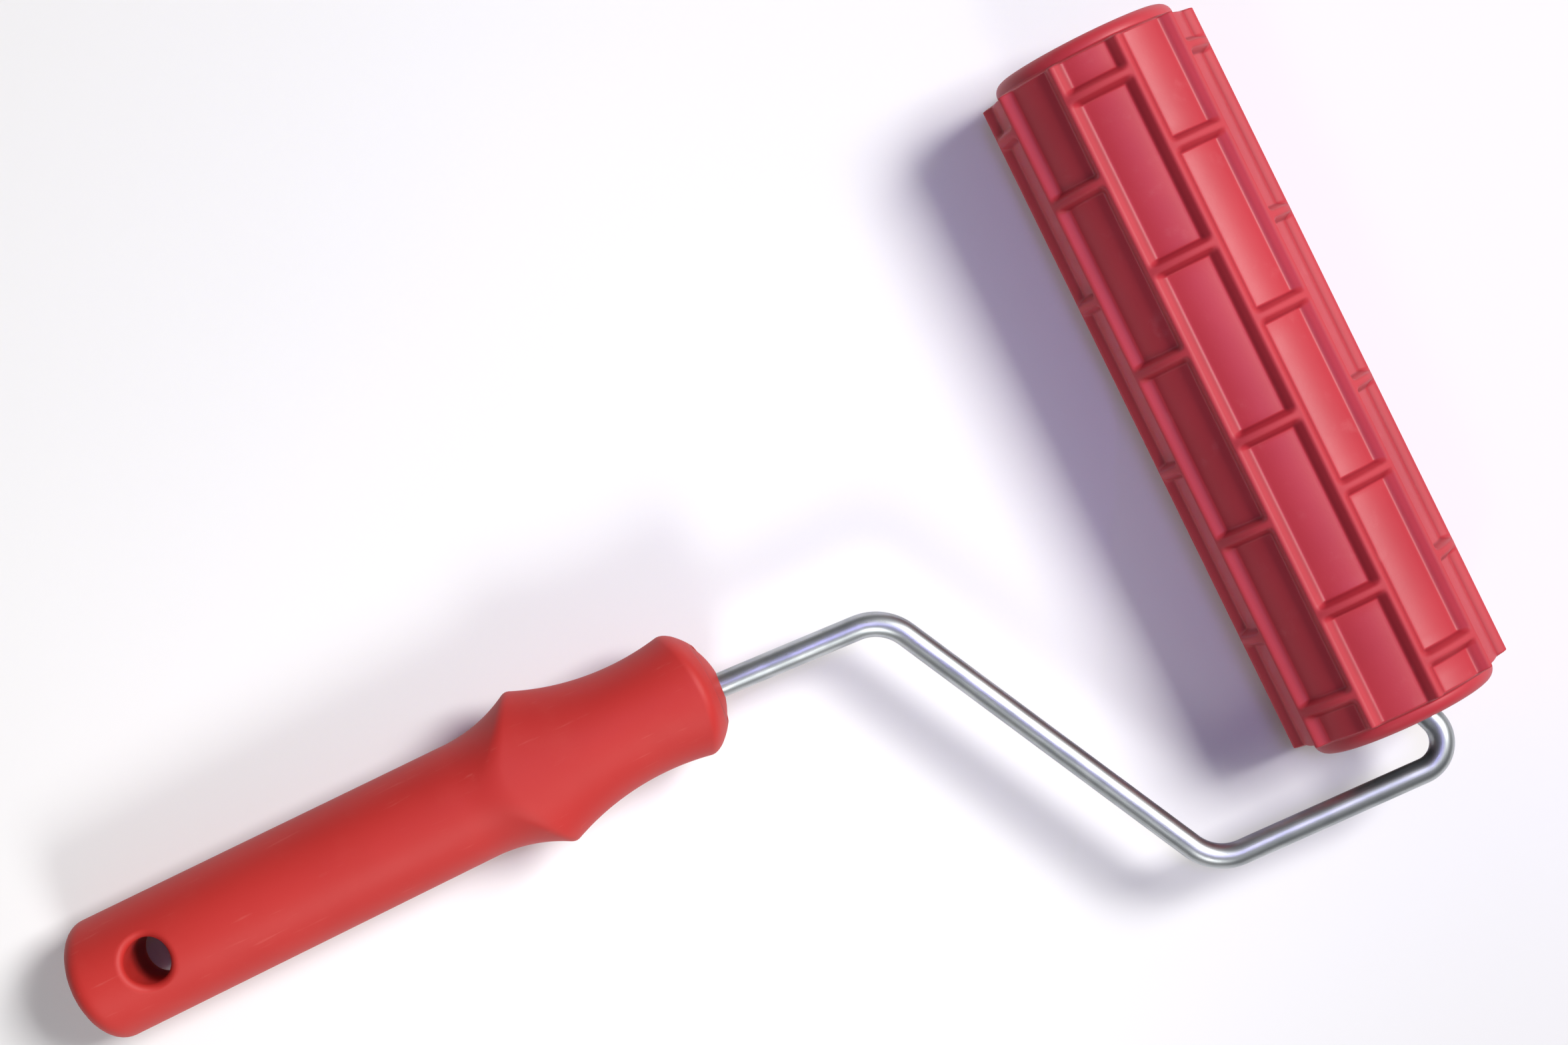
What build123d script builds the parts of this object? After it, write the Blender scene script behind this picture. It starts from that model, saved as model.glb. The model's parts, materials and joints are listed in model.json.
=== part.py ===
from build123d import *
from math import asin, atan2, degrees, hypot, radians, sqrt, tan
import os

# A hand roller that presses a brick-and-mortar pattern into wet plaster. A rubber sleeve with raised
# mortar ridges turns on a bent steel wire, and the wire's other end is held in a moulded handle.
#
# Everything is drawn in the tool's own plane first: origin at the middle of the roller on its axis,
# +X from the handle to the roller, +Y along the roller to its free end, +Z out of the plane.
# laid_down() then lays the tool down on Z = 0, resting on the roller and the butt.

# ---------------------------------------------------------------- pattern sleeve
ROLLER_LENGTH = 175.0
RIDGE_RADIUS = 27.2            # tops of the mortar ridges
FLOOR_RADIUS = 24.6            # floors of the brick pockets
COLLAR_RADIUS = 22.7           # plain collars beyond the ridges
SHOULDER_ROUND = 2.8           # rounded ends of the collars
RIDGE_ZONE = 168.4            # length over which the ridges run
BRICK_ROWS = 10
BRICK_PITCH = 43.3             # from joint to joint along a row
JOINT_OFFSET = 11.8            # nearest joint to the middle, left or right in alternate rows
LONG_RIDGE_TOP = 1.0           # width of the ridges between rows
LONG_RIDGE_DRAFT = 34.0        # degrees, each wall
JOINT_RIDGE_TOP = 1.4          # width of the ridges between bricks
JOINT_RIDGE_DRAFT = 29.0       # degrees, each wall
ROLLER_TURN = -8.4             # degrees; a row's middle is this far behind the tool's upper side

# ---------------------------------------------------------------- roller core and bearings
CORE_RADIUS = 19.0             # sleeve's bore and core tube's outside
CORE_WALL = 1.8
CAP_FLANGE = 1.8               # thickness of the end cap's rim outside the tube
CAP_ROUND = 0.6                # edges of the rim's face
CAP_WALL = 1.8
CAP_DEPTH = 26.0               # how far the cap's spigot reaches in
WEB_THICKNESS = 2.4
HUB_RADIUS = 7.6
HUB_LENGTH = 19.0
HUB_SETBACK = 19.5             # hub's outer end, inside the roller's end
CAP_RIBS = 6
RIB_THICKNESS = 1.8
BUSH_RADIUS = 4.6
BUSH_FLANGE_RADIUS = 6.6
BUSH_FLANGE = 1.2
BUSH_CLEARANCE = 0.06          # radial, on the wire
WASHER_RADIUS = 6.5
WASHER_THICKNESS = 1.0
AXIAL_GAP = 0.15               # between what turns and what doesn't
COVER_RADIUS = 14.2
COVER_THICKNESS = 1.6

# ---------------------------------------------------------------- wire frame
WIRE_RADIUS = 3.0
HANDLE_Y = -9.0                # handle's axis, off the middle of the roller
WIRE_TAIL_X = -236.0
WIRE_TIP_Y = 73.8
SOCKET_END_X = -169.5          # the wire's socket stops short of the kink
KINK_X = -166.0                # slight kink inside the handle, which sends the wire off its axis
FIRST_BEND = (-100.4, -12.8)   # corners of the wire's centre line, in the tool's plane
SECOND_BEND = (-55.8, -99.1)
ARM_END = (8.6, -101.4)        # the arm runs on past the axle and comes back inside the end cap
AXLE_START = (0.0, -79.0)
KINK_RADIUS = 60.0
BEND_RADIUS = 12.0
ARM_END_RADIUS = 7.2
AXLE_BEND_RADIUS = 9.0
EAR_WIDTH = 9.6                # pinched stop ears beside the near washer
EAR_THICKNESS = 3.2
EAR_LENGTH = 4.6
TAIL_EAR_X = -226.0            # pinched ears that stop the handle from turning

# ---------------------------------------------------------------- handle
BUTT_X = -308.2
NOSE_X = -140.8
BUTT_RADIUS = 14.9
SHAFT_RADIUS = 14.45           # where the shaft meets the flare
FLARE_START_X = -206.2
FLARE_RADIUS = 35.0            # concave flare behind the guard
WAIST_X = -162.5
WAIST_HALF_WIDTH = 14.1
WAIST_HALF_THICKNESS = 13.9
WAIST_SWEEP = 62.0             # concave sides in front of the guard
WAIST_SWEEP_FLAT = 420.0       # the same on the broad faces
NOSE_PLAN_RADIUS = 18.5        # the nose's bulge in the tool's plane
NOSE_SIDE_RADIUS = 26.0        # and across it
BUTT_PLAN_RADIUS = 27.0
BUTT_SIDE_RADIUS = 60.0
BUTT_ROUND = 2.4
NOSE_ROUND = 1.2
CAVITY_RADIUS = 10.0
CAVITY_END_X = -279.0
PLUG_DEPTH = 9.0
PLUG_RECESS = 0.5
SOCKET_RADIUS = 6.2
SOCKET_RIB = 2.0
HANG_HOLE_X = -287.8
HANG_HOLE_RADIUS = 5.5
HANG_HOLE_LIP = 1.2            # the mouth's chamfer

HALF = ROLLER_LENGTH / 2
ROW_ANGLE = 360 / BRICK_ROWS

# The tool tips about the roller's axis until the butt's rounded lower edge meets the floor.
butt_lever_x = -BUTT_X - BUTT_ROUND
butt_lever_z = BUTT_RADIUS - BUTT_ROUND
REST_TILT = degrees(
    asin((RIDGE_RADIUS - BUTT_ROUND) / hypot(butt_lever_x, butt_lever_z))
    - atan2(butt_lever_z, butt_lever_x)
)


def turned(*corners):
    """Solid turned about the roller's axis from (radius, y) corners."""
    return revolve(Polygon(*corners, align=None), Axis.Y)


def ring(inner, outer, y_low, y_high):
    return turned((inner, y_low), (outer, y_low), (outer, y_high), (inner, y_high))


def trapezoid(top_width, draft, radial_low, radial_high):
    """Ridge section: width across, radius up, with its stated width at the ridge's top radius."""
    slope = tan(radians(draft))
    half_low = top_width / 2 + (RIDGE_RADIUS - radial_low) * slope
    half_high = top_width / 2 - (radial_high - RIDGE_RADIUS) * slope
    return [
        (-half_low, radial_low),
        (half_low, radial_low),
        (half_high, radial_high),
        (-half_high, radial_high),
    ]


# ---------------------------------------------------------------- roller head
def pattern_sleeve():
    body = ring(CORE_RADIUS, COLLAR_RADIUS, -HALF, HALF)
    rims = body.edges().filter_by(GeomType.CIRCLE).filter_by(lambda e: e.radius > CORE_RADIUS + 1)
    body = fillet(rims, SHOULDER_ROUND)
    body += ring(CORE_RADIUS, FLOOR_RADIUS, -RIDGE_ZONE / 2, RIDGE_ZONE / 2)

    root = FLOOR_RADIUS - 1.0
    long_corners = trapezoid(LONG_RIDGE_TOP, LONG_RIDGE_DRAFT, root, RIDGE_RADIUS + 1)
    long_ridge = extrude(Plane.XZ * Polygon(*long_corners, align=None), RIDGE_ZONE / 2, both=True)
    joint_section = trapezoid(JOINT_RIDGE_TOP, JOINT_RIDGE_DRAFT, root, RIDGE_RADIUS)
    joint_corners = [(r, y) for y, r in joint_section]
    joint_ridge = revolve(Polygon(*joint_corners, align=None), Axis.Y, ROW_ANGLE)

    envelope = ring(CORE_RADIUS + 1, RIDGE_RADIUS, -RIDGE_ZONE / 2, RIDGE_ZONE / 2)
    ridges = []
    for row in range(BRICK_ROWS):
        edge = (row + 0.5) * ROW_ANGLE
        ridges.append((Rot(0, edge, 0) * long_ridge) & envelope)
        side = -1 if row % 2 == 0 else 1
        joints = [side * (JOINT_OFFSET + BRICK_PITCH * k) for k in (-2, -1, 0, 1)]
        # A revolved arc starts on +X, a quarter turn from the top, and sweeps one row.
        start = Rot(0, edge - ROW_ANGLE - 90, 0)
        ridges += [start * Pos(0, y, 0) * joint_ridge for y in joints]
    return body + ridges


def core_tube():
    end = HALF - CAP_FLANGE
    return ring(CORE_RADIUS - CORE_WALL, CORE_RADIUS, -end, end)


def end_cap():
    """Moulded end cap, at the free end: rim, spigot, ribbed web and the hub that takes the bush."""
    spigot = CORE_RADIUS - CORE_WALL
    inner = spigot - CAP_WALL
    hub_out = HALF - HUB_SETBACK
    web_low = HALF - CAP_DEPTH
    cap = ring(inner, CORE_RADIUS - 0.1, HALF - CAP_FLANGE, HALF - 0.4)
    cap = fillet(cap.edges().filter_by(GeomType.CIRCLE).group_by(Axis.Y)[-1], CAP_ROUND)
    cap += ring(inner, spigot, HALF - CAP_DEPTH, HALF - CAP_FLANGE)
    cap += ring(BUSH_RADIUS, inner, web_low, web_low + WEB_THICKNESS)
    cap += ring(BUSH_RADIUS, HUB_RADIUS, hub_out - HUB_LENGTH, hub_out)
    rib_height = hub_out - web_low - 1.5
    rib_reach = inner - HUB_RADIUS + 1
    for k in range(CAP_RIBS):
        rib = Pos(HUB_RADIUS - 0.5, web_low, 0) * Box(
            rib_reach, rib_height, RIB_THICKNESS, align=(Align.MIN, Align.MIN, Align.CENTER)
        )
        cap += Rot(0, k * 360 / CAP_RIBS, 0) * rib
    return cap


def bearing_bush():
    hub_out = HALF - HUB_SETBACK
    bore = WIRE_RADIUS + BUSH_CLEARANCE
    return turned(
        (bore, hub_out - HUB_LENGTH),
        (BUSH_RADIUS, hub_out - HUB_LENGTH),
        (BUSH_RADIUS, hub_out),
        (BUSH_FLANGE_RADIUS, hub_out),
        (BUSH_FLANGE_RADIUS, hub_out + BUSH_FLANGE),
        (bore, hub_out + BUSH_FLANGE),
    )


def hub_cover():
    """Snap-in disc that keeps plaster out of the free end, with a lip that grips the cap's wall."""
    inner = CORE_RADIUS - CORE_WALL - CAP_WALL
    face = HALF - 1.0
    disc = ring(0, inner - 0.1, face - COVER_THICKNESS, face)
    lip = ring(inner - 1.5, inner, face - COVER_THICKNESS - 2.4, face - COVER_THICKNESS)
    dish = turned((0, face - 0.7), (COVER_RADIUS - 5, face - 0.7), (COVER_RADIUS - 4, face), (0, face))
    return disc + lip - dish


# ---------------------------------------------------------------- hardware on the wire
WASHER_Y = HALF - HUB_SETBACK + BUSH_FLANGE + AXIAL_GAP
STOP_Y = WASHER_Y + WASHER_THICKNESS


def thrust_washer():
    return ring(WIRE_RADIUS + 0.15, WASHER_RADIUS, WASHER_Y, STOP_Y)


def push_nut():
    """Star-lock clip: a flat rim, a raised dome and six slots whose teeth bite the wire's tip."""
    rim, dome, gauge, rise = 6.4, 4.9, 0.5, 1.5
    nut = turned(
        (WIRE_RADIUS, STOP_Y + rise),
        (WIRE_RADIUS, STOP_Y + rise + gauge),
        (dome - 1.2, STOP_Y + rise + gauge),
        (dome, STOP_Y + gauge),
        (rim, STOP_Y + gauge),
        (rim, STOP_Y),
        (dome - 0.4, STOP_Y),
        (dome - 1.6, STOP_Y + rise),
    )
    for k in range(6):
        slot = Pos(WIRE_RADIUS + 0.3, STOP_Y + rise, 0) * Box(2.4, 3, 0.6)
        nut -= Rot(0, k * 60, 0) * slot
    return nut


# ---------------------------------------------------------------- wire frame
def wire_frame():
    corners = [
        (WIRE_TAIL_X, HANDLE_Y),
        (KINK_X, HANDLE_Y),
        FIRST_BEND,
        SECOND_BEND,
        ARM_END,
        AXLE_START,
        (0, WIRE_TIP_Y),
    ]
    radii = [KINK_RADIUS, BEND_RADIUS, BEND_RADIUS, ARM_END_RADIUS, AXLE_BEND_RADIUS]
    path = FilletPolyline(*corners, radius=radii)
    wire = sweep(Plane(origin=path @ 0, z_dir=path % 0) * Circle(WIRE_RADIUS), path=path)
    tip = wire.edges().filter_by(GeomType.CIRCLE).sort_by(Axis.Y)[-1]
    wire = chamfer(tip, 0.6)
    near_stop = -STOP_Y - EAR_LENGTH / 2
    wire += Pos(0, near_stop, 0) * pinched_ears(EAR_LENGTH)
    wire += Pos(TAIL_EAR_X, HANDLE_Y, 0) * Rot(0, 0, 90) * pinched_ears(EAR_LENGTH)
    return wire


def pinched_ears(length):
    """Two wings squeezed out of the round wire, along Y, flat in the tool's plane."""
    ears = Box(EAR_WIDTH, length, EAR_THICKNESS)
    return fillet(ears.edges().filter_by(Axis.Z), 1.2)


# ---------------------------------------------------------------- handle, drawn about its own axis on X
def head_half_width(x):
    return WAIST_HALF_WIDTH + WAIST_SWEEP - sqrt(WAIST_SWEEP**2 - (x - WAIST_X) ** 2)


def head_half_thickness(x):
    return WAIST_HALF_THICKNESS + WAIST_SWEEP_FLAT - sqrt(WAIST_SWEEP_FLAT**2 - (x - WAIST_X) ** 2)


def shaft_blank():
    """Round shaft with the concave flare that runs up the back of the guard."""
    flare_run = 22.0
    flare_end = (
        FLARE_START_X + flare_run,
        SHAFT_RADIUS + FLARE_RADIUS - sqrt(FLARE_RADIUS**2 - flare_run**2),
    )
    mid_run = flare_run / 2
    flare_mid = (
        FLARE_START_X + mid_run,
        SHAFT_RADIUS + FLARE_RADIUS - sqrt(FLARE_RADIUS**2 - mid_run**2),
    )
    start, end, top = (FLARE_START_X, SHAFT_RADIUS), BUTT_X - 4, 32.0
    outline = [
        Line((end, 0), (end, BUTT_RADIUS)),
        Line((end, BUTT_RADIUS), start),
        ThreePointArc(start, flare_mid, flare_end),
        Line(flare_end, (flare_end[0] + 6, top)),
        Line((flare_end[0] + 6, top), (NOSE_X + 4, top)),
        Line((NOSE_X + 4, top), (NOSE_X + 4, 0)),
        Line((NOSE_X + 4, 0), (end, 0)),
    ]
    return revolve(make_face(outline), Axis.X)


def head_blank():
    """Oval head, waisted between guard and nose; behind the guard it is wider than the shaft."""
    stations = [-212, -203, -194, -185, -176, -167, -158, -149, -140, -134]
    ovals = [
        Plane.YZ.offset(x) * Ellipse(head_half_width(x), head_half_thickness(x)) for x in stations
    ]
    behind = Pos(stations[0], 0, 0) * Rot(0, -90, 0) * Cylinder(
        45, 110, align=(Align.CENTER, Align.CENTER, Align.MIN)
    )
    return loft(ovals) + behind


def bulged_end(tip, plan_radius, side_radius, outward):
    """End block whose face bulges both ways: a plan arc swung about an axis across the handle."""
    half = 0.95 * plan_radius
    edge = tip - outward * (plan_radius - sqrt(plan_radius**2 - half**2))
    pivot = tip - outward * side_radius
    outline = [
        ThreePointArc((edge, -half), (tip, 0), (edge, half)),
        Line((edge, half), (pivot, half)),
        Line((pivot, half), (pivot, -half)),
        Line((pivot, -half), (edge, -half)),
    ]
    swing = Pos(pivot, 0, 0) * Rot(0, -90, 0) * Pos(-pivot, 0, 0)
    return revolve(swing * make_face(outline), Axis((pivot, 0, 0), (0, 1, 0)), 180)


def end_trim(recess=0.0):
    """Envelope of the handle with both ends bulged, set in by a recess."""
    nose, butt, wide = NOSE_X - recess, BUTT_X + recess, 80.0
    low, high = butt + BUTT_SIDE_RADIUS, nose - NOSE_SIDE_RADIUS
    middle = Pos((low + high) / 2, 0, 0) * Box(high - low, wide, wide)
    nose_end = bulged_end(nose, NOSE_PLAN_RADIUS, NOSE_SIDE_RADIUS, 1)
    return middle + nose_end + bulged_end(butt, BUTT_PLAN_RADIUS, BUTT_SIDE_RADIUS, -1)


def along_x(radius, x_low, x_high):
    return Pos((x_low + x_high) / 2, 0, 0) * Rot(0, 90, 0) * Cylinder(radius, x_high - x_low)


def handle_shell():
    body = shaft_blank() & head_blank() & end_trim()
    butt_rim = body.edges().filter_by(lambda e: e.center().X < BUTT_X + 8)
    body = fillet(butt_rim, BUTT_ROUND)
    nose_rim = body.edges().filter_by(lambda e: e.center().X > NOSE_X - 12)
    body = fillet(nose_rim, NOSE_ROUND)
    body -= along_x(CAVITY_RADIUS, CAVITY_END_X, NOSE_X + 5)
    body -= Pos(HANG_HOLE_X, 0, 0) * Cylinder(HANG_HOLE_RADIUS, 60)
    flare = 3.0
    upright = (Align.CENTER, Align.CENTER, Align.MIN)
    mouth = Cone(HANG_HOLE_RADIUS, HANG_HOLE_RADIUS + flare, flare, align=upright)
    for side in (0, 180):
        body -= Rot(side, 0, 0) * Pos(HANG_HOLE_X, 0, BUTT_RADIUS - HANG_HOLE_LIP) * mouth
    return body


def nose_plug():
    plug = along_x(CAVITY_RADIUS, NOSE_X - PLUG_DEPTH, NOSE_X + 2) & end_trim(PLUG_RECESS)
    lean = degrees(atan2(FIRST_BEND[1] - HANDLE_Y, FIRST_BEND[0] - KINK_X))
    bore = along_x(WIRE_RADIUS, 0, NOSE_X + 10 - KINK_X)
    return plug - Pos(KINK_X, 0, 0) * Rot(0, 0, lean) * bore


def wire_socket():
    """Tube and four ribs inside the handle that hold the wire's tail; the ears sit in its slot."""
    low, high = WIRE_TAIL_X - 4, SOCKET_END_X
    length, middle = high - low, (low + high) / 2
    socket = along_x(SOCKET_RADIUS, low, high)
    fins = Pos(middle, 0, 0) * (
        Box(length, 2 * CAVITY_RADIUS + 1, SOCKET_RIB) + Box(length, SOCKET_RIB, 2 * CAVITY_RADIUS + 1)
    )
    socket += fins & along_x(CAVITY_RADIUS, low, high)
    socket -= along_x(WIRE_RADIUS, WIRE_TAIL_X, high + 1)
    slot_length = EAR_LENGTH + 0.4
    return socket - Pos(TAIL_EAR_X, 0, 0) * Box(slot_length, EAR_WIDTH + 0.2, EAR_THICKNESS + 0.2)


# ---------------------------------------------------------------- laying the tool down
def laid_down(shape):
    """Tips the tool about the roller's axis by the rest tilt, then lifts it to the roller's height."""
    return Pos(0, 0, RIDGE_RADIUS) * Rot(0, -REST_TILT, 0) * shape


def on_axle(shape):
    """The roller turns freely, so it stands at an angle of its own on the frame's axle."""
    return laid_down(Rot(0, ROLLER_TURN, 0) * shape)


def flipped(shape):
    return mirror(shape, about=Plane.XZ)


to_handle = Pos(0, HANDLE_Y, 0)
parts = {
    "handle_shell": laid_down(to_handle * handle_shell()),
    "nose_plug": laid_down(to_handle * nose_plug()),
    "wire_socket": laid_down(to_handle * wire_socket()),
    "wire_frame": laid_down(wire_frame()),
    "thrust_washer_near": laid_down(flipped(thrust_washer())),
    "thrust_washer_far": laid_down(thrust_washer()),
    "push_nut": laid_down(push_nut()),
    "pattern_sleeve": on_axle(pattern_sleeve()),
    "core_tube": on_axle(core_tube()),
    "end_cap_near": on_axle(flipped(end_cap())),
    "end_cap_far": on_axle(end_cap()),
    "bearing_bush_near": on_axle(flipped(bearing_bush())),
    "bearing_bush_far": on_axle(bearing_bush()),
    "hub_cover_far": on_axle(hub_cover()),
}

# The row's origin is the bottom centre of the whole tool's box.
whole = Compound(children=[Compound(p.solids()) for p in parts.values()]).bounding_box()
to_row = Pos(-(whole.min.X + whole.max.X) / 2, -(whole.min.Y + whole.max.Y) / 2, -whole.min.Z)

os.makedirs("parts", exist_ok=True)
for name, part in parts.items():
    export_step(to_row * part, f"parts/{name}.step")

tipped = Pos(0, 0, RIDGE_RADIUS) * Rot(0, -REST_TILT, 0)
hang_hole = to_row * tipped * Pos(HANG_HOLE_X, HANDLE_Y, 0)
roller_centre = to_row * Pos(0, 0, RIDGE_RADIUS)
print("overall", whole.size, "lowest", whole.min.Z, "rest tilt", round(REST_TILT, 4))
print("hang hole's middle", hang_hole.position, "axis", hang_hole.z_axis.direction)
print("roller's middle", roller_centre.position)
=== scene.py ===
import json
from math import cos, pi, radians, sin, tan

import bmesh
import bpy
import numpy as np
from mathutils import Matrix, Vector


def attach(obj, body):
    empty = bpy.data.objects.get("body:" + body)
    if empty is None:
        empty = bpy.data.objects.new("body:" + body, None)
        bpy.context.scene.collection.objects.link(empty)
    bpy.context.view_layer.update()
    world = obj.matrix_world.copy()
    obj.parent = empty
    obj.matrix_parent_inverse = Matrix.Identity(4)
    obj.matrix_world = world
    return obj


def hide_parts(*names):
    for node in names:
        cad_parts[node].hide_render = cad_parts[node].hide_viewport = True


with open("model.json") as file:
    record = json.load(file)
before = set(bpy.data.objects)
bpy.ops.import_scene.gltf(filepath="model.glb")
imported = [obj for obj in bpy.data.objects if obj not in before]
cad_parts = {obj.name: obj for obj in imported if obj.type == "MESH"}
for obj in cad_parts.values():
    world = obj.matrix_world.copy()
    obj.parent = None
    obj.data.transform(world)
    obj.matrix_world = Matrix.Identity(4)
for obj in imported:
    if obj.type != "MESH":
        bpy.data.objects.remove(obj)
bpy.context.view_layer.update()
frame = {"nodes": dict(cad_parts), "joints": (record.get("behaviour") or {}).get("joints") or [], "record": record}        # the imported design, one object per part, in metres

mm = 0.001               # in metres
print("frame loaded,", len(frame["nodes"]), "parts")

# The tool is flat, and lies tipped a little, so its shapes are drawn in its own plane, in millimetres:
# x from the handle to the roller, y along the roller, z square to both, from the roller's middle.
axle = np.array(frame["joints"][0]["pos_m"])
alongRoller = np.array(frame["joints"][0]["axis"])
upward = np.array(frame["record"]["mounts"][0]["axis"])      # the hanging hole goes square through
forward = np.cross(alongRoller, upward)


# Points in the tool's own axes and millimetres, as places in the frame.
def inFrame(points):
    x, y, z = (points[..., k : k + 1] * mm for k in range(3))
    return axle + x * forward + y * alongRoller + z * upward


# Quad corners between neighbouring points of a grid; a wrapped side joins its end to its start.
def gridFaces(rows, columns, wrapRows=False, wrapColumns=True):
    low = np.arange(rows if wrapRows else rows - 1)
    left = np.arange(columns if wrapColumns else columns - 1)
    i, j = np.meshgrid(low, left, indexing="ij")
    up, right = (i + 1) % rows, (j + 1) % columns
    return np.stack([i * columns + j, i * columns + right, up * columns + right, up * columns + j], -1)


# One closed piece from points and quads: close points merge, so poles and seams close too.
def addPiece(name, points, faces, values=None):
    mesh = bpy.data.meshes.new(name)
    mesh.from_pydata(points.reshape(-1, 3).tolist(), [], faces.reshape(-1, 4).tolist())
    for key, value in (values or {}).items():
        if value.shape[-1] == 3:
            layer = mesh.attributes.new(key, "FLOAT_VECTOR", "POINT")
            layer.data.foreach_set("vector", value.astype(np.float32).ravel())
        else:
            layer = mesh.attributes.new(key, "FLOAT", "POINT")
            layer.data.foreach_set("value", value.astype(np.float32).ravel())
    work = bmesh.new()
    work.from_mesh(mesh)
    bmesh.ops.remove_doubles(work, verts=work.verts, dist=1e-7)
    bmesh.ops.recalc_face_normals(work, faces=work.faces)
    work.to_mesh(mesh)
    work.free()
    mesh.shade_smooth()
    piece = bpy.data.objects.new(name, mesh)
    bpy.context.scene.collection.objects.link(piece)
    return piece


# Zero below 0 and t above it, with the corner eased into a parabola within ease of 0.
def easedRamp(t, ease):
    return np.clip(t + ease, 0, 2 * ease) ** 2 / (4 * ease) + np.maximum(t - ease, 0)


# 1 up to the top distance and 0 past the root, straight between, both corners eased.
def easedStep(distance, top, root, ease=0.25):
    t = (root - distance) / (root - top)
    return easedRamp(t, ease) - easedRamp(t - 1, ease)


# The smaller of two lengths, blended where they differ by less than the width.
def softMin(first, second, width):
    near = np.maximum(width - np.abs(first - second), 0) / width
    return np.minimum(first, second) - near**2 * width / 4


# The rubber sleeve, in millimetres.
sleeve = {
    "halfLength": 87.5,
    "halfRidgeZone": 84.2,       # the ridges stop here, and a plain collar goes on
    "ridgeRadius": 27.2,
    "floorRadius": 24.6,
    "collarRadius": 22.7,
    "boreRadius": 19.0,
    "shoulder": 2.8,
    "rows": 10,
    "brickPitch": 43.3,
    "jointOffset": 11.8,         # nearest joint to the middle, left or right in alternate rows
    "longTop": 0.5,              # half widths of the ridges at their tops
    "jointTop": 0.7,
    "longDraft": radians(34),
    "jointDraft": radians(29),
    "endDraft": 0.7,             # length of the slope at the ridges' ends
    "turn": radians(-8.4),       # the roller's own angle on its axle
    "closestRows": 0.09,         # grid rows nearer than this are dropped
}


# Relief at a place along the roller and an angle round it: 1 on the ridge tops, 0 in the pockets.
# A wall is straight in the ridge's own section, so its distance is the radius times the angle's sine.
def reliefAt(y, angle):
    rowAngle = 2 * pi / sleeve["rows"]
    row = np.round(angle / rowAngle)
    fromRidge = rowAngle / 2 - np.abs(angle - row * rowAngle)
    rise = sleeve["ridgeRadius"] - sleeve["floorRadius"]
    side = np.where(row % 2 == 0, -1.0, 1.0)
    pitch = sleeve["brickPitch"]
    fromJoint = np.abs((side * y - sleeve["jointOffset"] + pitch / 2) % pitch - pitch / 2)
    jointRoot = sleeve["jointTop"] + rise * tan(sleeve["jointDraft"])
    longRoot = sleeve["longTop"] + rise * tan(sleeve["longDraft"])
    joint = easedStep(fromJoint, sleeve["jointTop"], jointRoot)
    relief = np.zeros_like(joint)
    for settle in range(8):                     # the wall's distance depends on the radius it sets
        radius = sleeve["floorRadius"] + rise * relief
        long = easedStep(radius * np.sin(fromRidge), sleeve["longTop"], longRoot)
        relief = 1 - (1 - long) * (1 - joint)
    return relief


# A section along the roller, turned about its axis. Its radius follows the relief inside the ridge zone,
# and the grid's lines are closest where the walls of the ridges stand.
def makeSleeve():
    # Degrees from a ridge's middle.
    rowAngle = 2 * pi / sleeve["rows"]
    crest, slope, pocket = np.linspace(0, 2.2, 7), np.linspace(2.7, 6.2, 9), np.linspace(7.4, 16.4, 6)
    half = np.radians(np.concatenate([crest, slope, pocket]))
    oneRow = np.concatenate([half, [rowAngle / 2], rowAngle - half[:0:-1]]) - rowAngle / 2
    angle = (oneRow[None, :] + rowAngle * np.arange(sleeve["rows"])[:, None]).ravel()

    # Millimetres from a joint's middle, the ridges' two ends, and even rows between.
    across = np.concatenate([np.linspace(0, 1.2, 5), np.linspace(1.5, 2.5, 6)])
    across = np.concatenate([-across[:0:-1], across])
    joints = sleeve["jointOffset"] + sleeve["brickPitch"] * np.arange(-2, 2)
    joints = np.concatenate([joints, -joints])
    zone, flat = sleeve["halfRidgeZone"], sleeve["halfLength"] - sleeve["shoulder"]
    ends = np.concatenate([np.linspace(zone - 1.2, zone + 0.3, 11), [flat]])
    even = np.linspace(-80, 80, 33)
    y = np.concatenate([(joints[:, None] + across).ravel(), ends, -ends, even])
    y = np.unique(np.round(y, 2))
    y = y[np.append(True, np.diff(y) > sleeve["closestRows"])]

    # Rounded shoulders, flat rims and the bore close the section into a loop.
    bend = np.linspace(0, pi / 2, 8)[1:]
    shoulderY = flat + sleeve["shoulder"] * np.sin(bend)
    shoulderR = sleeve["collarRadius"] - sleeve["shoulder"] * (1 - np.cos(bend))
    boreHalf = np.array([1.0, 0.998, 0.98, 0.6, 0.2])       # shares of the half length, closest at the rim
    boreY = np.concatenate([boreHalf, -boreHalf[::-1]]) * sleeve["halfLength"]
    boreR = np.full_like(boreY, sleeve["boreRadius"])
    base = np.concatenate([np.full_like(y, sleeve["collarRadius"]), shoulderR, boreR, shoulderR[::-1]])
    y = np.concatenate([y, shoulderY, boreY, -shoulderY[::-1]])

    # The pockets and ridges stand on the collar's radius and drop to it at both ends.
    inZone = easedStep(np.abs(y), zone - sleeve["endDraft"], zone) * (base > sleeve["boreRadius"])
    along, around = np.meshgrid(y, angle, indexing="ij")
    relief = reliefAt(along, around)
    full = sleeve["floorRadius"] + (sleeve["ridgeRadius"] - sleeve["floorRadius"]) * relief
    radius = base[:, None] + (full - base[:, None]) * inZone[:, None]
    relief = np.where(inZone[:, None] > 0.5, relief, 0)
    turned = around + sleeve["turn"]
    points = inFrame(np.stack([radius * np.sin(turned), along, radius * np.cos(turned)], -1))
    faces = gridFaces(len(y), len(angle), wrapRows=True)
    piece = addPiece("patternSleeve", points, faces, {"relief": relief[..., None]})
    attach(piece, "roller")
    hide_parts("pattern_sleeve")
    return piece


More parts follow.
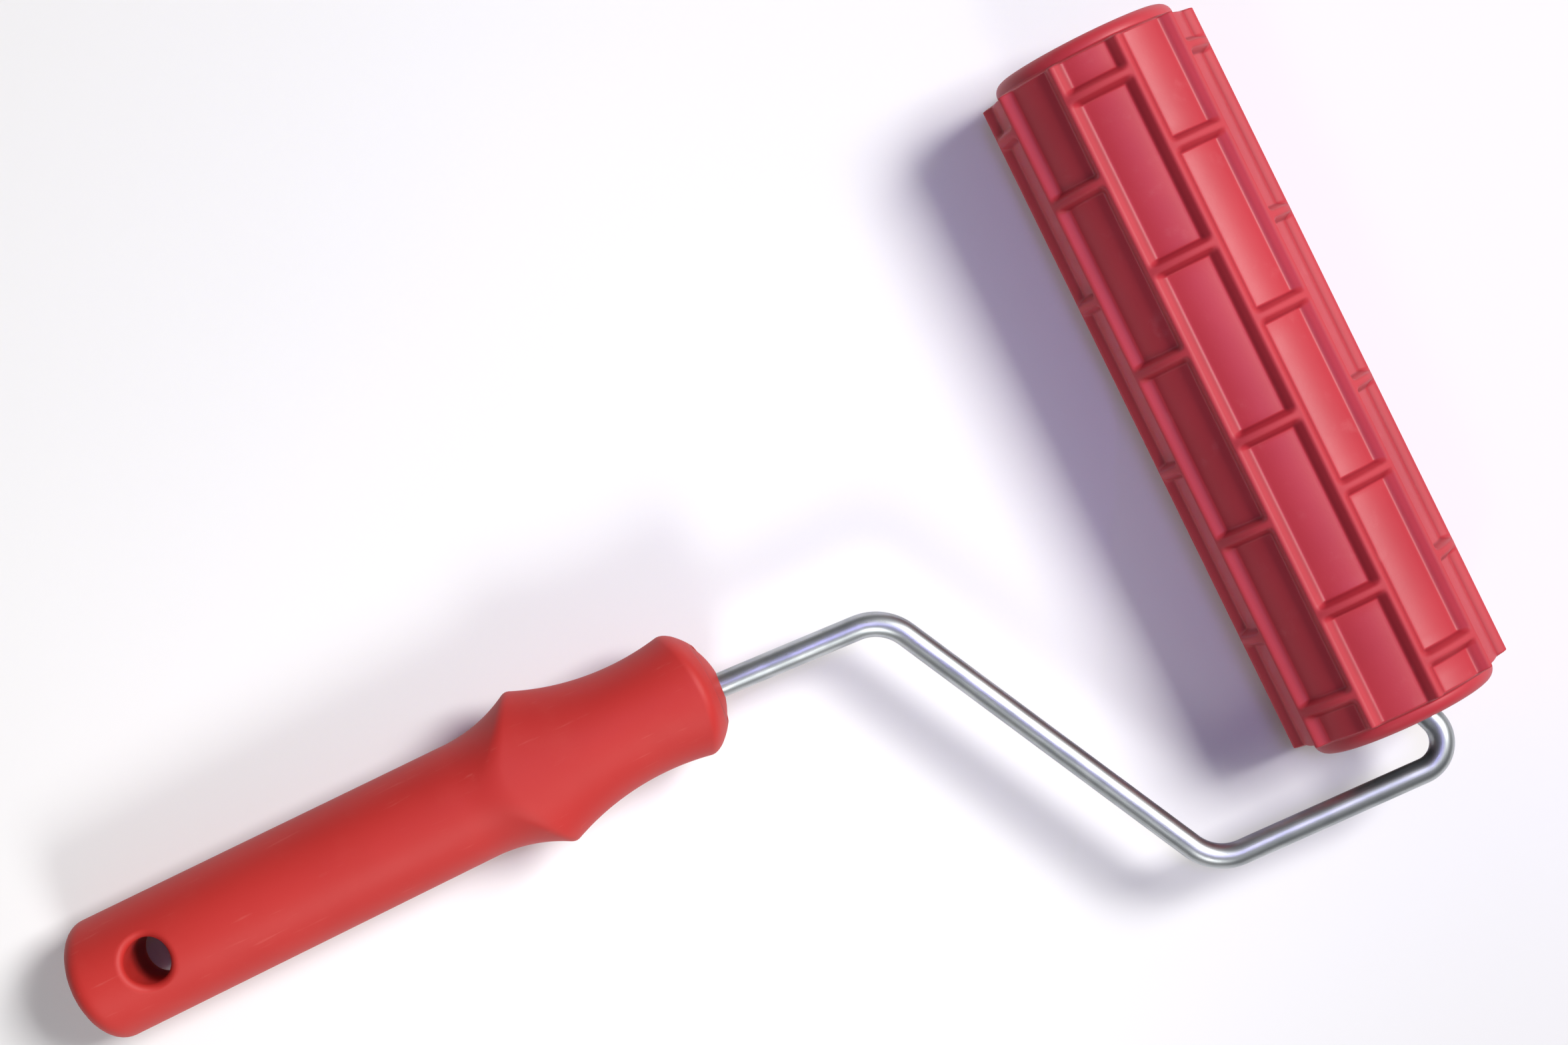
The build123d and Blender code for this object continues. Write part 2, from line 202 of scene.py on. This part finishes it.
# The handle, drawn about its own axis along x, in millimetres.
handle = {
    "axisY": -9.0,
    "butt": -308.2,
    "nose": -140.8,
    "buttRadius": 14.9,
    "shaftRadius": 14.45,        # where the shaft meets the flare
    "taperBeyond": 4.0,          # the butt's radius is reached this far beyond it
    "flareStart": -206.2,
    "flareRadius": 35.0,
    "flareReach": 32.0,          # the flare's arc and the waist's stop rising past these lengths
    "waistReach": 58.0,
    "waist": -162.5,
    "waistHalfWidth": 14.1,
    "waistHalfThickness": 13.9,
    "sweepWide": 62.0,           # radii of the waist's sides, in the tool's plane and across it
    "sweepFlat": 420.0,
    "crease": 1.1,               # how far the guard's edge is softened
    "nosePlan": 18.5,            # end bulges, in the tool's plane and across it
    "noseSide": 26.0,
    "buttPlan": 27.0,
    "buttSide": 60.0,
    "noseRound": 1.5,
    "buttRound": 3.4,
    "noseFace": 13.0,            # the nose's radius inside its rim, which spaces its rows
    "cavityRadius": 10.0,
    "cavityEnd": -279.0,
    "cavityEdge": 0.3,           # a narrow row on each side keeps the cavity's floor crisp
    "holeX": -287.8,
    "holeRadius": 5.5,
    "holeLip": 1.7,
    "holeBlock": 9.6,            # half length of the gap that is left round the hole
    "columns": 176,
}


# Shaft: straight taper, then an arc that flares outwards behind the guard.
def shaftRadiusAt(x):
    taperLength = handle["butt"] - handle["taperBeyond"] - handle["flareStart"]
    taper = (handle["buttRadius"] - handle["shaftRadius"]) / taperLength
    straight = handle["shaftRadius"] + taper * np.minimum(x - handle["flareStart"], 0)
    run = np.clip(x - handle["flareStart"], 0, handle["flareReach"])
    sweep = handle["flareRadius"]
    return straight + sweep - np.sqrt(sweep**2 - run**2)


# Section: the shaft's circle or the waisted head's ellipse, whichever is nearer the axis.
def sectionRadius(x, angle):
    run = np.minimum(np.abs(x - handle["waist"]), handle["waistReach"])
    sweepWide, sweepFlat = handle["sweepWide"], handle["sweepFlat"]
    wide = handle["waistHalfWidth"] + sweepWide - np.sqrt(sweepWide**2 - run**2)
    thick = handle["waistHalfThickness"] + sweepFlat - np.sqrt(sweepFlat**2 - run**2)
    head = wide * thick / np.sqrt((thick * np.cos(angle)) ** 2 + (wide * np.sin(angle)) ** 2)
    return softMin(shaftRadiusAt(x), head, handle["crease"])


# How far an end has curved back at an offset from the axis: an arc in plan, swung about a cross axis.
def endDrop(y, z, plan, side):
    inPlan = plan - np.sqrt(plan**2 - y**2)
    return side - np.sqrt((side - inPlan) ** 2 - z**2)


# Where the body meets an end's bulge, for each angle, settled by repetition.
def endEdge(angle, tip, plan, side, outward):
    x = np.full_like(angle, tip - outward * 8)          # a first guess, a little inside
    for settle in range(25):
        radius = sectionRadius(x, angle)
        x = tip - outward * endDrop(radius * np.cos(angle), radius * np.sin(angle), plan, side)
    return x, sectionRadius(x, angle)


# Points of one end from share 0 on the axis to 1 at the edge, then a rim onto the body, rounded by a
# parabola that leaves the face and meets the body along the lines to the sharp edge.
def endRows(angle, tip, plan, side, outward, rounding, shares):
    edgeX, edgeR = endEdge(angle, tip, plan, side, outward)

    def onEnd(radius):
        return tip - outward * endDrop(radius * np.cos(angle), radius * np.sin(angle), plan, side)

    inner = edgeR - rounding
    faceR = shares[:, None] * inner
    faceX = onEnd(faceR)
    bodyX = edgeX - outward * rounding
    bodyR = sectionRadius(bodyX, angle)
    t = np.linspace(0, 1, 8)[1:-1, None]
    rimX = (1 - t) ** 2 * onEnd(inner) + 2 * t * (1 - t) * edgeX + t**2 * bodyX
    rimR = (1 - t) ** 2 * inner + 2 * t * (1 - t) * edgeR + t**2 * bodyR
    return np.concatenate([faceX, rimX]), np.concatenate([faceR, rimR]), bodyX


# Sections along the axis: up the cavity to its mouth, over the nose, back along the body, over the butt.
def makeHandle():
    columns = handle["columns"]
    angle = 2 * pi * np.arange(columns) / columns
    noseShares = np.linspace(handle["cavityRadius"] / handle["noseFace"], 1, 8)
    noseX, noseR, frontX = endRows(
        angle, handle["nose"], handle["nosePlan"], handle["noseSide"], 1, handle["noseRound"], noseShares)
    buttShares = np.linspace(0, 1, 9)
    buttX, buttR, backX = endRows(
        angle, handle["butt"], handle["buttPlan"], handle["buttSide"], -1, handle["buttRound"], buttShares)

    # The nose's first row is trimmed to the round mouth of the cavity.
    mouth = np.full(columns, handle["cavityRadius"])
    noseR[0] = mouth
    noseX[0] = handle["nose"] - endDrop(
        mouth * np.cos(angle), mouth * np.sin(angle), handle["nosePlan"], handle["noseSide"])

    # Shares of the way from the nose's rim to the butt's.
    head, guard, shaft = np.linspace(0, 0.22, 34), np.linspace(0.225, 0.40, 60), np.linspace(0.41, 1, 84)
    share = np.concatenate([head, guard, shaft])
    bodyX = frontX + (backX - frontX) * share[:, None]
    bodyR = sectionRadius(bodyX, angle)

    deep, edge = handle["cavityEnd"], handle["cavityEdge"]
    cavityX = np.concatenate([[deep, deep, deep + edge], np.linspace(deep + 2, handle["nose"] - 8, 12)])
    cavityX = np.repeat(cavityX[:, None], columns, 1)
    cavityR = np.full_like(cavityX, handle["cavityRadius"])
    cavityR[0] = 0
    cavityR[1] -= edge
    lastX = noseX[:1] - 0.4                             # close behind the mouth
    x = np.concatenate([cavityX, lastX, noseX, bodyX, buttX[::-1]])
    radius = np.concatenate([cavityR, cavityR[-1:], noseR, bodyR, buttR[::-1]])
    grid = np.stack([x, radius * np.cos(angle), radius * np.sin(angle)], -1)
    faces = gridFaces(len(x), columns)

    # The hanging hole: a block of quads above and below is left out, and a tube joins the two gaps.
    top, low = columns // 4, 3 * columns // 4
    outside = np.arange(len(x)) > len(cavityX) + len(noseX)
    inBlock = outside & (np.abs(x[:, top] - handle["holeX"]) < handle["holeBlock"])
    first, last = np.flatnonzero(inBlock)[[0, -1]]
    reach = int(np.arcsin(handle["holeBlock"] / handle["buttRadius"]) / (2 * pi / columns))
    keep = np.ones(faces.shape[:2], bool)
    keep[first:last, top - reach : top + reach] = False
    keep[first:last, low - reach : low + reach] = False
    rowLoop = np.concatenate([
        np.arange(first, last), np.full(2 * reach, last),
        np.arange(last, first, -1), np.full(2 * reach, first)])
    columnLoop = np.concatenate([
        np.full(last - first, top - reach), np.arange(top - reach, top + reach),
        np.full(last - first, top + reach), np.arange(top + reach, top - reach, -1)])
    upper = holeRows(grid[rowLoop, columnLoop])
    tube = np.concatenate([upper, (upper * (1, 1, -1))[::-1]])
    tubeFaces = gridFaces(len(tube), tube.shape[1]) + grid.shape[0] * columns

    points = np.concatenate([grid.reshape(-1, 3), tube.reshape(-1, 3)]) + (0, handle["axisY"], 0)
    allFaces = np.concatenate([faces[keep].reshape(-1, 4), tubeFaces.reshape(-1, 4)])
    piece = addPiece("handleShell", inFrame(points), allFaces)
    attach(piece, "frame")
    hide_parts("handle_shell")
    return piece


# From a loop round the hole to its rounded lip and down to the middle: plan positions slide straight
# towards a circle, on the shaft's surface, then a quarter round turns down into the hole.
def holeRows(loop):
    centre = np.array([handle["holeX"], 0.0])
    fromCentre = loop[:, :2] - centre
    heading = fromCentre / np.linalg.norm(fromCentre, axis=1, keepdims=True)
    lipRadius = handle["holeRadius"] + handle["holeLip"]
    slide = np.linspace(0, 1, 8)[:, None, None]
    plan = centre + (1 - slide) * fromCentre + slide * lipRadius * heading
    height = np.sqrt(shaftRadiusAt(plan[..., 0]) ** 2 - plan[..., 1] ** 2)
    onTop = np.concatenate([plan, height[..., None]], -1)
    onTop[0] = loop
    bend = np.linspace(0, pi / 2, 7)[1:, None]
    lipR = lipRadius - handle["holeLip"] * np.sin(bend)
    lipZ = height[-1] - handle["holeLip"] * (1 - np.cos(bend))
    lip = np.concatenate([centre + lipR[..., None] * heading, lipZ[..., None]], -1)
    depth = np.array([0.75, 0.4, 0.0])[:, None, None]       # shares of the lip's height
    wallPlan = centre + handle["holeRadius"] * heading + 0 * depth
    wall = np.concatenate([wallPlan, depth * lipZ[-1][:, None]], -1)
    return np.concatenate([onTop, lip, wall])


# The wire, in millimetres; its corners run from its tail in the handle to its tip in the roller.
wire = {
    "radius": 3.0,
    "corners": ((-236.0, handle["axisY"]), (-166.0, handle["axisY"]), (-100.4, -12.8), (-55.8, -99.1),
                (8.6, -101.4), (0.0, -79.0), (0.0, 73.8)),
    "bends": (60.0, 12.0, 12.0, 7.2, 9.0),
    "earHalfWidth": 4.8,
    "earHalfThickness": 1.6,
    "earLength": 4.6,
    "earSlope": 1.3,             # length over which the wire flattens into an ear
    "nearEarY": -72.65,
    "tailEarX": -226.0,
    "chamfer": 0.6,
    "straightStep": 2.0,         # spacing of sections on the wire, and on the axle, which has the ears
    "axleStep": 0.8,
    "bendSections": 22,
    "columns": 40,
}


# The line through the corners, each corner replaced by its tangent arc.
def wireLine():
    corners = np.array(wire["corners"])
    pieces, start = [], corners[0]
    for corner, before, after, radius in zip(corners[1:-1], corners[:-2], corners[2:], wire["bends"]):
        inward = (corner - before) / np.linalg.norm(corner - before)
        onward = (after - corner) / np.linalg.norm(after - corner)
        turn = np.arccos(np.clip(inward @ onward, -1, 1))
        setback = radius * tan(turn / 2)
        bendStart = corner - inward * setback
        count = max(int(np.linalg.norm(bendStart - start) / wire["straightStep"]), 2)
        pieces.append(start + (bendStart - start) * np.linspace(0, 1, count, endpoint=False)[:, None])
        sideways = (onward - inward * cos(turn)) / sin(turn)
        t = np.linspace(0, turn, wire["bendSections"], endpoint=False)[:, None]
        pieces.append(bendStart + radius * (np.sin(t) * inward + (1 - np.cos(t)) * sideways))
        start = corner + onward * setback
    count = int(np.linalg.norm(corners[-1] - start) / wire["axleStep"])
    pieces.append(start + (corners[-1] - start) * np.linspace(0, 1, count)[:, None])
    return np.concatenate(pieces)


# A round section carried along the line, each row square to the line's own direction.
def makeWire():
    line = wireLine()
    step = np.linalg.norm(np.diff(line, axis=0), axis=1)
    along = np.append(0, np.cumsum(step))
    tangent = np.gradient(line, along, axis=0)
    tangent /= np.linalg.norm(tangent, axis=1, keepdims=True)
    sideways = np.stack([-tangent[:, 1], tangent[:, 0]], -1)

    # Two places where the round wire is pinched into a pair of flat ears.
    nearEar = np.hypot(line[:, 0], line[:, 1] - wire["nearEarY"])
    tailEar = np.hypot(line[:, 0] - wire["tailEarX"], line[:, 1] - handle["axisY"])
    half = wire["earLength"] / 2
    pinch = easedStep(np.minimum(nearEar, tailEar), half - wire["earSlope"], half)
    width = wire["radius"] + (wire["earHalfWidth"] - wire["radius"]) * pinch
    thickness = wire["radius"] - (wire["radius"] - wire["earHalfThickness"]) * pinch

    # Chamfered ends, closed at a point: a share of the section at each added row.
    inset = np.minimum(along, along[-1] - along)
    share = np.minimum(1, 1 - (wire["chamfer"] - inset) / wire["radius"])
    share = np.where(inset < wire["chamfer"], share, 1)
    closed = np.r_[0, np.arange(len(line)), len(line) - 1]
    share = share[closed]
    share[[0, -1]] = 0

    angle = 2 * pi * np.arange(wire["columns"]) / wire["columns"]
    across = (width[closed] * share)[:, None] * np.cos(angle)
    high = (thickness[closed] * share)[:, None] * np.sin(angle)
    plan = line[closed][:, None, :] + across[..., None] * sideways[closed][:, None, :]
    points = np.concatenate([plan, high[..., None]], -1)
    spread = np.repeat(along[closed][:, None], len(angle), 1)
    lie = np.stack([spread, across, high], -1)          # place along and across the wire, for its finish
    piece = addPiece("wireFrame", inFrame(points), gridFaces(len(closed), len(angle)), {"lie": lie})
    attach(piece, "frame")
    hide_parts("wire_frame")
    return piece


# A number that varies over a surface; sums and products of such numbers add Math nodes.
class Signal:
    def __init__(self, kit, socket):
        self.kit = kit
        self.socket = socket

    def joined(self, operation, other, turned=False):
        pair = (other, self) if turned else (self, other)
        return self.kit.add("ShaderNodeMath", {"operation": operation}, {0: pair[0], 1: pair[1]})

    def __add__(self, other):
        return self.joined("ADD", other)

    def __sub__(self, other):
        return self.joined("SUBTRACT", other)

    def __rsub__(self, other):
        return self.joined("SUBTRACT", other, True)

    def __mul__(self, other):
        return self.joined("MULTIPLY", other)

    __radd__ = __add__
    __rmul__ = __mul__


# sRGB values from 0 to 255, as a linear colour.
def paint(red, green, blue):
    share = np.array([red, green, blue]) / 255
    linear = np.where(share <= 0.04045, share / 12.92, ((share + 0.055) / 1.055) ** 2.4)
    return (*linear.tolist(), 1.0)


class Finish:
    def __init__(self, name):
        self.material = bpy.data.materials.new(name)
        self.material.use_nodes = True
        self.tree = self.material.node_tree
        self.tree.nodes.clear()

    # Any node: its type, its settings, then the values or links of its sockets.
    def add(self, kind, settings=None, sockets=None, output=0):
        node = self.tree.nodes.new(kind)
        for key, value in (settings or {}).items():
            setattr(node, key, value)
        for key, value in (sockets or {}).items():
            if isinstance(value, Signal):
                self.tree.links.new(value.socket, node.inputs[key])
            else:
                node.inputs[key].default_value = value
        return Signal(self, node.outputs[output]) if len(node.outputs) else None

    def place(self):
        return self.add("ShaderNodeTexCoord", output="Object")

    def stretched(self, vector, scale):
        return self.add("ShaderNodeMapping", {}, {"Vector": vector, "Scale": scale})

    def noise(self, vector, scale, detail, roughness):
        return self.add("ShaderNodeTexNoise", {}, {
            "Vector": vector, "Scale": scale, "Detail": detail, "Roughness": roughness})

    def attribute(self, name, output="Fac"):
        return self.add("ShaderNodeAttribute", {"attribute_name": name}, output=output)

    # 0 below low, 1 above high, smooth between.
    def smooth(self, value, low, high):
        return self.add("ShaderNodeMapRange", {"interpolation_type": "SMOOTHSTEP"}, {
            "Value": value, "From Min": low, "From Max": high, "To Min": 0.0, "To Max": 1.0})

    def mix(self, share, first, second):
        return self.add("ShaderNodeMix", {"data_type": "RGBA"}, {0: share, 6: first, 7: second}, output=2)

    def bump(self, height, strength, distance):
        return self.add("ShaderNodeBump", {}, {"Height": height, "Strength": strength, "Distance": distance})

    def finished(self, sockets):
        surface = self.add("ShaderNodeBsdfPrincipled", {}, sockets)
        self.add("ShaderNodeOutputMaterial", {}, {"Surface": surface})
        return self.material


# Red rubber: painted shade in the ridges' roots, paler and rougher on their crests, a little dust in the
# pockets.
def rubberFinish():
    kit = Finish("redRubber")
    place = kit.place()
    relief = kit.attribute("relief")
    broad = kit.noise(place, scale=22.0, detail=4.0, roughness=0.55)
    patchy = kit.noise(place, scale=140.0, detail=5.0, roughness=0.6)
    fine = kit.noise(place, scale=1600.0, detail=3.0, roughness=0.6)
    body = kit.mix(kit.smooth(broad, 0.3, 0.7), paint(176, 45, 56), paint(186, 51, 61))
    # painted shade: the pockets are darkened, patchily, towards the feet of the ridge walls
    root = kit.smooth(relief, 0.0, 0.12) * (1 - kit.smooth(relief, 0.12, 0.60))
    body = kit.mix(root * (0.30 + 0.35 * patchy), body, paint(140, 26, 40))
    crest = kit.smooth(relief, 0.80, 0.97)
    body = kit.mix(crest * (0.02 + 0.20 * patchy), body, paint(196, 74, 78))
    dusty = kit.smooth(patchy, 0.58, 0.78) * (1 - kit.smooth(relief, 0.0, 0.5))
    body = kit.mix(dusty * 0.12, body, paint(214, 130, 130))
    rough = 0.42 + 0.08 * patchy + 0.05 * fine + 0.22 * crest
    grain = kit.bump(fine * 0.5 + patchy * 0.6, strength=0.25, distance=0.00012)
    return kit.finished({"Base Color": body, "Roughness": rough, "Normal": grain, "Specular IOR Level": 0.46})


# Red moulded plastic with a satin grain, and fine scuffs along the handle.
def handleFinish():
    kit = Finish("redHandle")
    place = kit.place()
    broad = kit.noise(place, scale=16.0, detail=3.0, roughness=0.5)
    patchy = kit.noise(place, scale=90.0, detail=5.0, roughness=0.6)
    fine = kit.noise(place, scale=2600.0, detail=2.0, roughness=0.6)
    body = kit.mix(kit.smooth(broad, 0.3, 0.7), paint(178, 38, 34), paint(187, 43, 38))
    body = kit.mix(kit.smooth(patchy, 0.5, 0.8) * 0.14, body, paint(192, 70, 62))
    scratch = kit.noise(kit.stretched(place, (60.0, 900.0, 900.0)), scale=1.0, detail=2.0, roughness=0.5)
    scuff = kit.smooth(scratch, 0.63, 0.72) * kit.smooth(patchy, 0.45, 0.62)
    body = kit.mix(scuff * 0.20, body, paint(205, 105, 97))
    rough = 0.52 + 0.08 * patchy + 0.05 * fine + 0.08 * scuff
    grain = kit.bump(fine * 0.5 + broad * 0.5, strength=0.18, distance=0.00010)
    return kit.finished({"Base Color": body, "Roughness": rough, "Normal": grain, "Specular IOR Level": 0.42})


# Zinc plate on drawn wire: streaks along it, broad clouds and small dull specks.
def zincFinish():
    kit = Finish("zincWire")
    lie = kit.attribute("lie", "Vector")
    drawn = kit.noise(kit.stretched(lie, (0.035, 2.2, 2.2)), scale=1.0, detail=4.0, roughness=0.6)
    cloud = kit.noise(kit.stretched(lie, (0.12, 0.25, 0.25)), scale=1.0, detail=3.0, roughness=0.5)
    speck = kit.noise(kit.stretched(lie, (1.6, 2.0, 2.0)), scale=1.0, detail=2.0, roughness=0.5)
    body = kit.mix(kit.smooth(cloud, 0.35, 0.65), paint(192, 196, 197), paint(170, 175, 177))
    body = kit.mix(kit.smooth(drawn, 0.52, 0.75) * 0.55, body, paint(128, 132, 134))
    body = kit.mix(kit.smooth(speck, 0.66, 0.74) * 0.30, body, paint(120, 120, 116))
    rough = 0.29 + 0.16 * drawn + 0.08 * cloud
    grain = kit.bump(drawn, strength=0.20, distance=0.00010)
    return kit.finished({"Base Color": body, "Metallic": 1.0, "Roughness": rough, "Normal": grain})


# Stamped steel: soft clouds and a fine grain.
def steelFinish(name, light, dark, rough):
    kit = Finish(name)
    place = kit.place()
    cloud = kit.noise(place, scale=260.0, detail=4.0, roughness=0.6)
    fine = kit.noise(place, scale=2400.0, detail=3.0, roughness=0.6)
    body = kit.mix(kit.smooth(cloud, 0.35, 0.65), light, dark)
    rough = rough + 0.12 * cloud
    grain = kit.bump(fine, strength=0.20, distance=0.00008)
    return kit.finished({"Base Color": body, "Metallic": 1.0, "Roughness": rough, "Normal": grain})


# Moulded plastic: slightly uneven colour and a fine moulding grain.
def mouldedFinish(name, light, dark, rough):
    kit = Finish(name)
    place = kit.place()
    cloud = kit.noise(place, scale=90.0, detail=4.0, roughness=0.55)
    fine = kit.noise(place, scale=2200.0, detail=3.0, roughness=0.6)
    body = kit.mix(kit.smooth(cloud, 0.3, 0.7), light, dark)
    rough = rough + 0.10 * cloud + 0.05 * fine
    grain = kit.bump(fine * 0.6 + cloud * 0.4, strength=0.22, distance=0.00010)
    return kit.finished({"Base Color": body, "Roughness": rough, "Normal": grain})


def floorFinish():
    kit = Finish("paleFloor")
    place = kit.place()
    cloud = kit.noise(place, scale=3.0, detail=2.0, roughness=0.5)
    body = kit.mix(kit.smooth(cloud, 0.3, 0.7), (0.81, 0.81, 0.81, 1.0), (0.83, 0.83, 0.83, 1.0))
    return kit.finished({"Base Color": body, "Roughness": 0.8, "Specular IOR Level": 0.2})


def coat(piece, material):
    piece.data.materials.clear()
    piece.data.materials.append(material)


patternSleeve = makeSleeve()
print("sleeve:", len(patternSleeve.data.polygons), "faces")
handleShell = makeHandle()
print("handle:", len(handleShell.data.polygons), "faces")
wireFrame = makeWire()
print("wire:", len(wireFrame.data.polygons), "faces")

coat(patternSleeve, rubberFinish())
redHandle = handleFinish()
coat(handleShell, redHandle)
coat(wireFrame, zincFinish())
coat(frame["nodes"]["nose_plug"], redHandle)
socketPlastic = mouldedFinish("socketPlastic", paint(170, 40, 36), paint(150, 34, 32), rough=0.45)
coreTube = mouldedFinish("coreTube", paint(150, 146, 140), paint(132, 128, 122), rough=0.55)
coat(frame["nodes"]["wire_socket"], socketPlastic)
coat(frame["nodes"]["core_tube"], coreTube)
capPlastic = mouldedFinish("capPlastic", paint(60, 60, 62), paint(46, 46, 48), rough=0.38)
bushPlastic = mouldedFinish("bushPlastic", paint(226, 224, 214), paint(212, 208, 196), rough=0.30)
washerSteel = steelFinish("washerSteel", paint(190, 193, 196), paint(160, 164, 168), rough=0.26)
springSteel = steelFinish("springSteel", paint(118, 116, 120), paint(84, 82, 88), rough=0.24)
for part in ("end_cap_near", "end_cap_far", "hub_cover_far"):
    coat(frame["nodes"][part], capPlastic)
for part in ("bearing_bush_near", "bearing_bush_far"):
    coat(frame["nodes"][part], bushPlastic)
for part in ("thrust_washer_near", "thrust_washer_far"):
    coat(frame["nodes"][part], washerSteel)
coat(frame["nodes"]["push_nut"], springSteel)
print("finishes on")


# A flat square grid just under the tool, in metres.
floorSheet = {"halfSide": 4.0, "level": -0.0002, "lines": 9}


def makeFloor():
    lines = floorSheet["lines"]
    edge = np.linspace(-1, 1, lines) * floorSheet["halfSide"]
    x, y = np.meshgrid(edge, edge, indexing="ij")
    points = np.stack([x, y, np.full_like(x, floorSheet["level"])], -1)
    faces = gridFaces(lines, lines, wrapColumns=False)
    floor = addPiece("floor", points, faces)
    coat(floor, floorFinish())


# An object turned so that its -Z looks along a direction, with its +Y nearest the given up.
def aim(item, position, target, up):
    back = (Vector(position) - Vector(target)).normalized()
    right = Vector(up).cross(back).normalized()
    turn = Matrix((right, back.cross(right), back)).transposed()
    item.matrix_world = Matrix.Translation(Vector(position)) @ turn.to_4x4()


# Soft boxes: each faces a place on the tool, in millimetres, and stands off along a direction from there,
# both in the tool's own axes. Distance and size are in metres.
softBoxes = {
    "keyBox": {
        "target": (-90.0, 0.0, 0.0),
        "direction": (0.62, 0.05, 0.79),
        "distance": 2.4,
        "size": (0.85, 0.85),
        "power": 66.0,
        "tint": (1.0, 0.98, 0.97),
        "spread": pi,
    },
    "coolBox": {                 # a narrow cool sheen along the roller's upper side
        "target": (0.0, 0.0, 0.0),
        "direction": (-0.025, 0.05, 1.0),
        "distance": 1.2,
        "size": (0.13, 0.40),
        "power": 0.075,
        "tint": (0.42, 0.36, 1.0),
        "spread": radians(24),
    },
}


def addSoftBox(name, target, direction, distance, size, power, tint, spread):
    lamp = bpy.data.lights.new(name, "AREA")
    lamp.shape = "RECTANGLE"
    lamp.size, lamp.size_y = size
    lamp.energy = power
    lamp.color = tint
    lamp.spread = spread
    item = bpy.data.objects.new(name, lamp)
    bpy.context.scene.collection.objects.link(item)
    middle = inFrame(np.array(target))
    heading = direction[0] * forward + direction[1] * alongRoller + direction[2] * upward
    heading = heading / np.linalg.norm(heading)
    aim(item, middle + heading * distance, middle, (0.0, 0.0, 1.0))


# A small lamp over the handle's near side, its beam kept off the roller.
handleLamp = {
    "place": (-280.0, -420.0, 400.0),
    "target": (-235.0, -9.0, 0.0),
    "power": 6.5,
    "beam": radians(54),
    "softness": 0.10,            # the lamp's radius, in metres
}


def addHandleLamp():
    lamp = bpy.data.lights.new("handleLamp", "SPOT")
    lamp.energy = handleLamp["power"]
    lamp.spot_size = handleLamp["beam"]
    lamp.spot_blend = 1.0
    lamp.shadow_soft_size = handleLamp["softness"]
    item = bpy.data.objects.new("handleLamp", lamp)
    bpy.context.scene.collection.objects.link(item)
    aim(item, inFrame(np.array(handleLamp["place"])), inFrame(np.array(handleLamp["target"])), upward)


makeFloor()
for name, box in softBoxes.items():
    addSoftBox(name, **box)
addHandleLamp()

world = bpy.data.worlds.new("studio")
bpy.context.scene.world = world
world.use_nodes = True
sky = world.node_tree.nodes["Background"].inputs
sky["Color"].default_value = (0.95, 0.96, 1.0, 1.0)
sky["Strength"].default_value = 0.14

view = {
    "over": (-111.5, 17.3),      # the lens looks straight down on this place in the tool's plane
    "height": 750.0,             # millimetres above it
    "lens": 73.4,
    "up": (0.4397, 0.8981),      # the view's upward side, in the tool's plane
}
camera = bpy.data.cameras.new("camera")
camera.lens = view["lens"]
camera.sensor_width = 36.0
cameraItem = bpy.data.objects.new("camera", camera)
bpy.context.scene.collection.objects.link(cameraItem)
eye = inFrame(np.array([*view["over"], view["height"]]))
below = inFrame(np.array([*view["over"], 0.0]))
aim(cameraItem, eye, below, view["up"][0] * forward + view["up"][1] * alongRoller)
bpy.context.scene.camera = cameraItem
bpy.context.scene.view_settings.view_transform = "Standard"
print("stage set")
